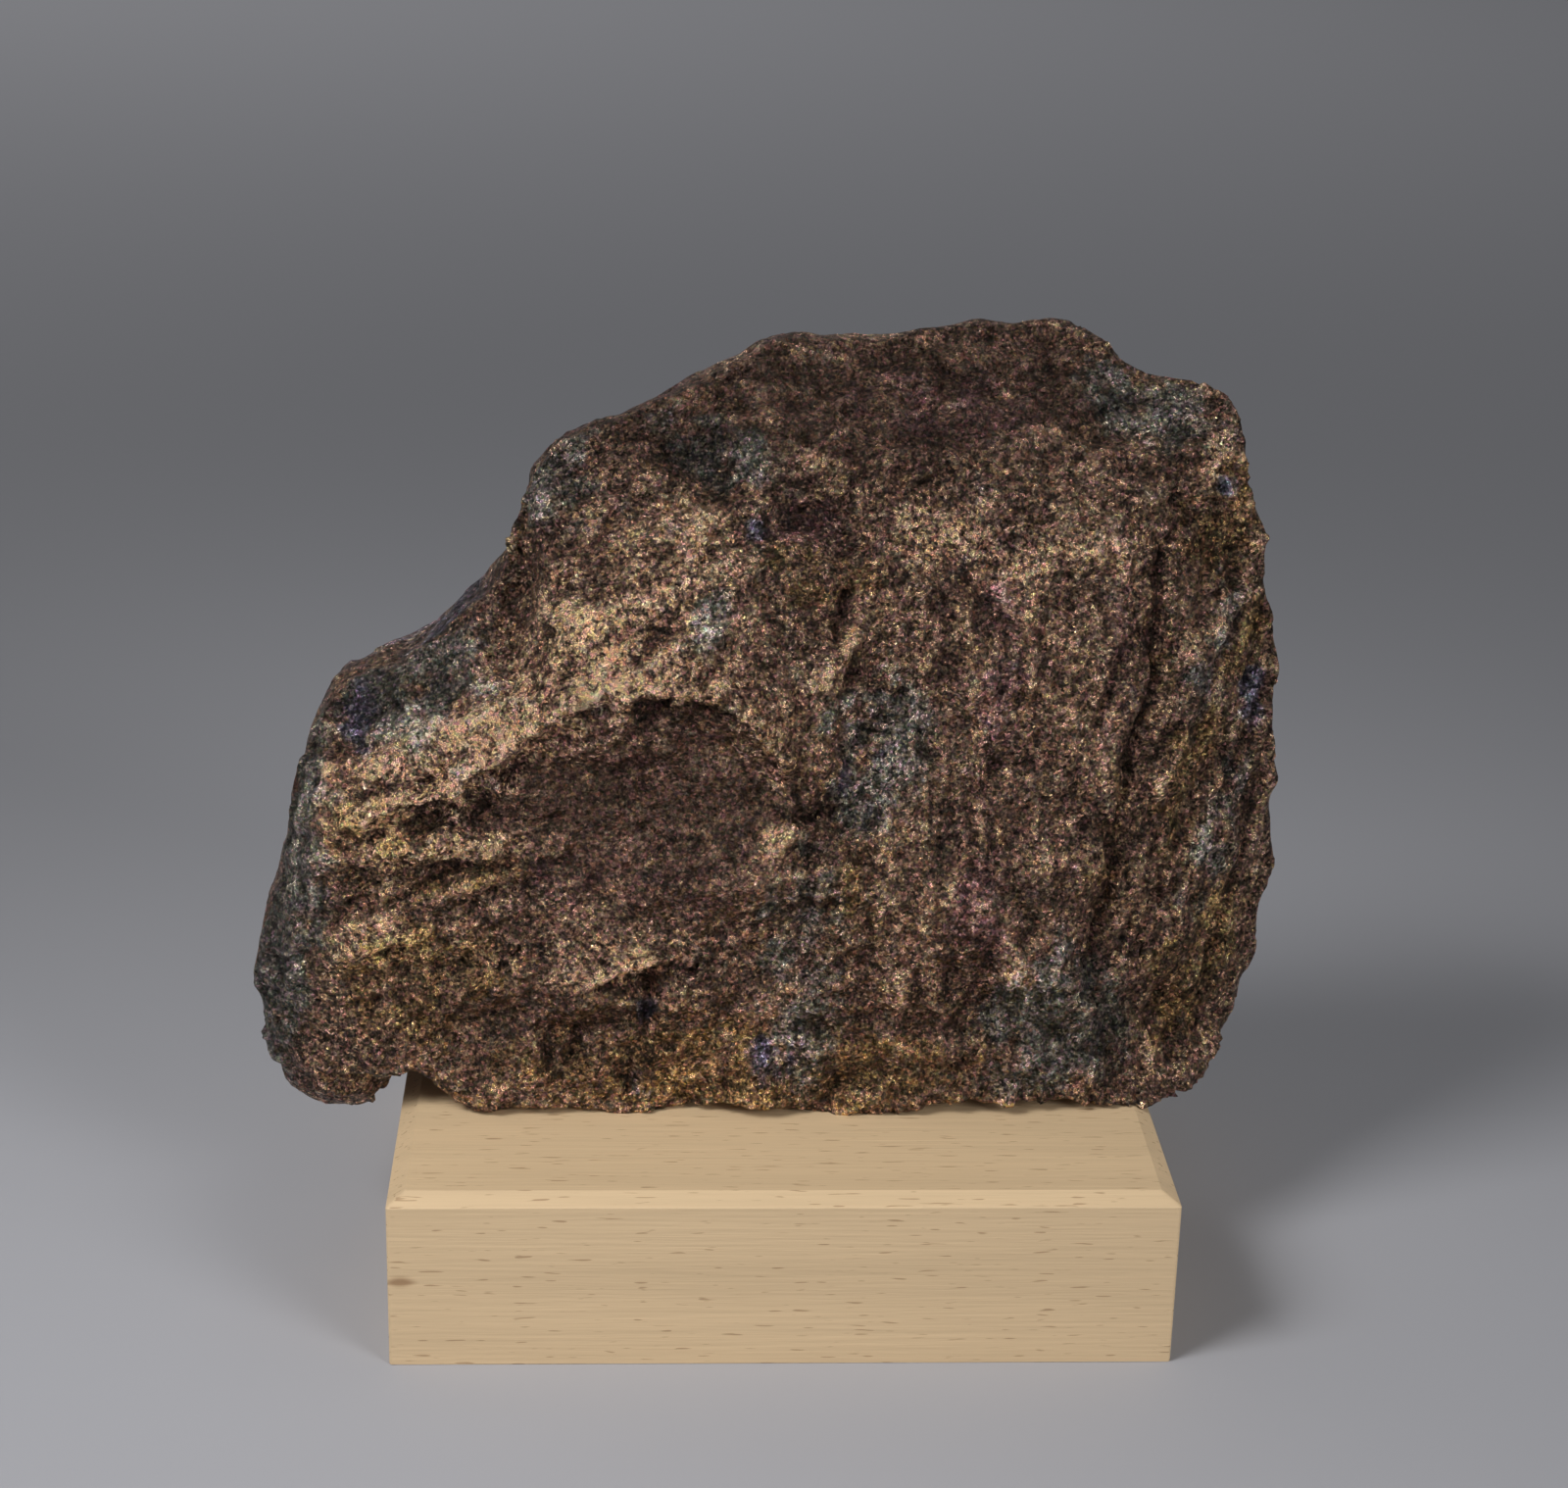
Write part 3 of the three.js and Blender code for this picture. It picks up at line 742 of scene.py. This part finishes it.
def roughen_stone(piece, settings):
    """Moves the skin out and in, keeps it clear of the block, and paints where each tarnish, the painted
    highlight and the painted shades show.
    """
    mesh = piece.data
    places = mesh_points(mesh) / MM
    normals = mesh_points(mesh, "normal")
    facing_front = -normals[:, 1]
    covers = {}
    for number, (name, patches) in enumerate(TARNISH_AND_LIGHT.items()):
        covers[name] = tarnish_and_light_cover(places, facing_front, patches, 20.0 + 9.0 * number)
    # A grey crust takes away part of the painted highlight.
    covers["painted_highlight"] *= 1 - GREY_TAKES * covers["grey"]
    height, covers["painted_crease_shade"], covers["painted_relief_shade"] = skin_height(places, facing_front, settings.seed)
    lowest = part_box(STONE)[0].z / MM
    sway = [smooth_noise(places, SWAY.size, 3, offset) for offset in (61.0, 67.0, 71.0)]
    moved = places + normals * height[:, None] + SWAY.height * np.stack(sway, axis=1)
    moved[:, 2] = np.maximum(moved[:, 2], lowest)
    mesh.vertices.foreach_set("co", (moved * MM).astype(np.float32).ravel())
    for name, values in covers.items():
        attribute = mesh.attributes.new(name, "FLOAT", "POINT")
        attribute.data.foreach_set("value", values.astype(np.float32))
    mesh.update()


def tarnish_tints(recipe, place):
    """The colours of ground and grains, mixed where the mesh says that a tarnish shows, and a soft cloud."""
    mottle = recipe.noise(place, TARNISH_MOTTLE, 6.0, 0.65)["Color"]
    mottle = recipe.node("ShaderNodeSeparateColor", {}, {"Color": mottle})
    ground, grain = BRONZE
    # Each tarnish spreads and thins with its own channel of the mottle.
    for (name, tint), channel in zip(TINTS.items(), ("Red", "Green", "Blue", "Red")):
        share = recipe.attribute(name) + 1.9 * (mottle[channel] - 0.5)
        share = recipe.smooth_step(share, 0.12, 0.75)
        ground = recipe.mix(share, ground, tint.ground)
        grain = recipe.mix(share, grain, tint.grain)
    return ground, grain, mottle["Blue"]


def tarnished_ore(settings):
    """Bronze-brown metallic ore: crumpled grains of very uneven brightness that glitter in the light."""
    recipe = Recipe("tarnished ore")
    place = recipe.node("ShaderNodeTexCoord", output="Object")
    place = recipe.scaled(place, 1.0 / MM)
    grains = recipe.cells(place, MM / settings.grain_size)
    lumps = recipe.cells(place, 1.0 / LUMP_WIDTH)
    chance = recipe.node("ShaderNodeSeparateColor", {}, {"Color": grains["Color"]})
    # The painted highlight, painted shade, painted crease shade and painted relief shading that the mesh
    # carries.
    painted_highlight, painted_shade, painted_crease_shade, painted_relief_shade = (recipe.attribute(name) for name in ("painted_highlight", "painted_shade", "painted_crease_shade", "painted_relief_shade"))
    tilted = recipe.node("ShaderNodeNewGeometry", output="Normal")
    tilted = recipe.vector("ADD", tilted, recipe.scaled(BRIGHT_LEAN, painted_highlight))
    for cells, tilt in ((grains, settings.grain_tilt), (lumps, LUMP_TILT * settings.grain_tilt)):
        lean = recipe.vector("SUBTRACT", cells["Color"], (0.5, 0.5, 0.5))
        tilted = recipe.vector("ADD", tilted, recipe.scaled(lean, tilt))
    crumple = {"Height": recipe.noise(place, CRUMPLES, 5.0, 0.7), "Strength": 1.0, "Distance": CRUMPLE_DEPTH}
    crumple["Normal"] = recipe.vector("NORMALIZE", tilted)
    normal = recipe.node("ShaderNodeBump", {}, crumple)
    ground, grain, cloud = tarnish_tints(recipe, place)
    coarse = COARSE_POWER * (recipe.noise(place, COARSE_GRAINS, 3.0, 0.62) - 0.5)
    fine = FINE_POWER * (recipe.noise(place, FINE_GRAINS, 2.0, 0.6) - 0.5)
    # Grains differ more in the painted highlight, and less in the painted shade.
    power = coarse * (0.65 + 0.45 * painted_highlight) + fine * (1 + 0.3 * painted_highlight)
    power = power + GRAIN_POWER * (chance["Red"] - 0.5) + CLOUD_POWER * (cloud - 0.5) + RELIEF_SHADE_POWER * painted_relief_shade
    power = power * (1 - 0.35 * painted_shade)
    # The share of light that the grains throw back: the painted highlight raises it, and the painted shade
    # and the painted crease shade lower it.
    light = settings.brightness * (1 + 1.9 * painted_highlight - 0.45 * painted_shade) * (1 - 0.6 * painted_crease_shade)
    light = light * recipe.node("ShaderNodeMath", {"operation": "EXPONENT"}, {0: power})
    light = recipe.node("ShaderNodeMath", {"operation": "MINIMUM"}, {0: light, 1: 1.0})
    paleness = recipe.smooth_step(light, 0.1, 0.6)
    # Every grain has its own slight hue.
    hue = recipe.vector("ADD", recipe.scaled(grains["Color"], 0.4), (0.8, 0.8, 0.8))
    colour = recipe.vector("MULTIPLY", recipe.mix(paleness, ground, grain), hue)
    return recipe.finish(
        **{
            "Base Color": recipe.scaled(colour, light),
            "Metallic": 0.8,
            "Roughness": 0.42 - 0.20 * paleness,
            "Normal": normal,
        }
    )


def pale_wood(settings):
    """Bare pale wood: soft growth bands, fine fibres, short brown pores and one small knot mark."""
    recipe = Recipe("pale wood")
    place = recipe.node("ShaderNodeTexCoord", output="Object")
    place = recipe.scaled(place, 1.0 / MM)
    bands = recipe.noise(recipe.vector("MULTIPLY", place, WOOD_BANDS), 1.0, 3.0, 0.5)
    fibres = recipe.noise(recipe.vector("MULTIPLY", place, WOOD_FIBRES), 1.0, 4.0, 0.6)
    pores = recipe.noise(recipe.vector("MULTIPLY", place, WOOD_PORES), 1.0, 1.0, 0.4)
    pores = recipe.smooth_step(pores, 0.66, 0.72)
    knot_place = recipe.vector("MULTIPLY", place, KNOT_SHRINK)
    knot_middle = tuple(part * shrink for part, shrink in zip(KNOT, KNOT_SHRINK))
    knot = {0: knot_place, 1: knot_middle}
    knot = recipe.node("ShaderNodeVectorMath", {"operation": "DISTANCE"}, knot, output="Value")
    knot = recipe.smooth_step(knot + 0.8 * (fibres - 0.5), 0.9, 0.2)
    colour = recipe.scaled(tuple(settings.wood_colour), 0.80 + 0.26 * bands + 0.20 * fibres)
    colour = recipe.mix(0.6 * pores, colour, settings.pore_colour)
    colour = recipe.mix(0.75 * knot, colour, settings.pore_colour)
    fibre_bump = {"Height": fibres, "Strength": 1.0, "Distance": FIBRE_HEIGHT}
    normal = recipe.node("ShaderNodeBump", {}, fibre_bump)
    return recipe.finish(**{"Base Color": colour, "Roughness": 0.58 + 0.1 * fibres, "Normal": normal})


class SPECIMEN_OT_stone(bpy.types.Operator):
    """Adds the tarnished stone in place of its plain solid"""

    bl_idname = "specimen.stone"
    bl_label = "Renierite Stone"

    def execute(self, context):
        settings = context.scene.specimen_stone
        piece = free_copy(STONE, "renierite_stone")
        even_skin(piece, settings.skin_spacing)
        roughen_stone(piece, settings)
        piece.data.materials.clear()
        piece.data.materials.append(tarnished_ore(settings))
        piece.data.shade_smooth()
        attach(piece, BODY)
        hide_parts(STONE)
        return {"FINISHED"}


class SPECIMEN_OT_block(bpy.types.Operator):
    """Adds the wooden block with eased edges in place of its plain solid"""

    bl_idname = "specimen.block"
    bl_label = "Wooden Block"

    def execute(self, context):
        settings = context.scene.specimen_block
        piece = free_copy(BLOCK, "display_block")
        bevel = piece.modifiers.new("eased edges", "BEVEL")
        bevel.width = settings.edge_radius
        bevel.segments = 3
        bevel.limit_method = "ANGLE"
        apply_modifiers(piece)
        piece.data.materials.clear()
        piece.data.materials.append(pale_wood(settings))
        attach(piece, BODY)
        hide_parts(BLOCK)
        return {"FINISHED"}


def plain_floor(settings):
    """A wide pale floor under the block."""
    mesh = bpy.data.meshes.new("floor")
    corners = [(FLOOR_REACH * x, FLOOR_REACH * y, 0) for x, y in ((-1, -1), (1, -1), (1, 1), (-1, 1))]
    mesh.from_pydata(corners, [], [(0, 1, 2, 3)])
    floor = bpy.data.objects.new("floor", mesh)
    bpy.context.scene.collection.objects.link(floor)
    recipe = Recipe("pale floor")
    mesh.materials.append(recipe.finish(**{"Base Color": opaque(settings.floor_colour), "Roughness": 0.85}))


def soft_light(name, power, lamp):
    """A square area light at its place, turned to face its point."""
    data = bpy.data.lights.new(name, "AREA")
    data.energy = power
    data.size = lamp.width
    data.spread = math.radians(lamp.beam)
    light = bpy.data.objects.new(name, data)
    light.location = lamp.place
    light.rotation_euler = (Vector(lamp.aim) - Vector(lamp.place)).to_track_quat("-Z", "Y").to_euler()
    bpy.context.scene.collection.objects.link(light)


def photo_camera():
    """The camera where the photograph was taken from: a long lens, a little above the stone."""
    lens = bpy.data.cameras.new("camera")
    lens.lens = LENS
    lens.sensor_width = SENSOR
    lens.clip_start = 0.01
    camera = bpy.data.objects.new("camera", lens)
    pitch, yaw, roll = (math.radians(angle) for angle in CAMERA_ANGLES)
    ahead = Vector((math.sin(yaw) * math.cos(pitch), math.cos(yaw) * math.cos(pitch), -math.sin(pitch)))
    level = Vector((math.cos(yaw), -math.sin(yaw), 0.0))
    upright = level.cross(ahead)
    right = math.cos(roll) * level + math.sin(roll) * upright
    up = math.cos(roll) * upright - math.sin(roll) * level
    turn = Matrix((right, up, -ahead)).transposed()
    camera.matrix_world = Matrix.Translation(CAMERA_PLACE) @ turn.to_4x4()
    bpy.context.scene.collection.objects.link(camera)
    bpy.context.scene.camera = camera


class SPECIMEN_OT_stage(bpy.types.Operator):
    """Sets the floor, the lights and the camera"""

    bl_idname = "specimen.stage"
    bl_label = "Studio Stage"

    def execute(self, context):
        settings = context.scene.specimen_stage
        plain_floor(settings)
        soft_light("key", settings.key_power, LAMPS["key"])
        soft_light("fill", settings.fill_power, LAMPS["fill"])
        soft_light("wash", settings.wash_power, LAMPS["wash"])
        world = bpy.data.worlds.new("studio")
        world.use_nodes = True
        sky = world.node_tree.nodes["Background"]
        sky.inputs["Color"].default_value = SKY_COLOUR
        sky.inputs["Strength"].default_value = SKY_STRENGTH
        context.scene.world = world
        context.scene.view_settings.view_transform = "Standard"
        photo_camera()
        return {"FINISHED"}


class SPECIMEN_PT_panel(bpy.types.Panel):
    """Lists the pieces of the specimen and their settings"""

    bl_idname = "SPECIMEN_PT_panel"
    bl_label = "Renierite Specimen"
    bl_space_type = "VIEW_3D"
    bl_region_type = "UI"
    bl_category = "Specimen"

    def draw(self, context):
        for group, operator in GROUPS:
            box = self.layout.box()
            box.operator(operator.bl_idname)
            settings = getattr(context.scene, group)
            for name in settings.bl_rna.properties.keys():
                if name not in ("rna_type", "name"):
                    box.prop(settings, name)


GROUPS = (
    ("specimen_stone", SPECIMEN_OT_stone),
    ("specimen_block", SPECIMEN_OT_block),
    ("specimen_stage", SPECIMEN_OT_stage),
)
SETTINGS = {"specimen_stone": StoneSettings, "specimen_block": BlockSettings, "specimen_stage": StageSettings}
CLASSES = (*SETTINGS.values(), *(operator for _, operator in GROUPS), SPECIMEN_PT_panel)


def register():
    for each in CLASSES:
        bpy.utils.register_class(each)
    for name, settings in SETTINGS.items():
        setattr(bpy.types.Scene, name, PointerProperty(type=settings))


def unregister():
    for name in SETTINGS:
        delattr(bpy.types.Scene, name)
    for each in reversed(CLASSES):
        bpy.utils.unregister_class(each)


def main():
    """Builds the specimen and its stage."""
    register()
    bpy.ops.specimen.stone()
    bpy.ops.specimen.block()
    bpy.ops.specimen.stage()


if __name__ == "__main__":
    main()
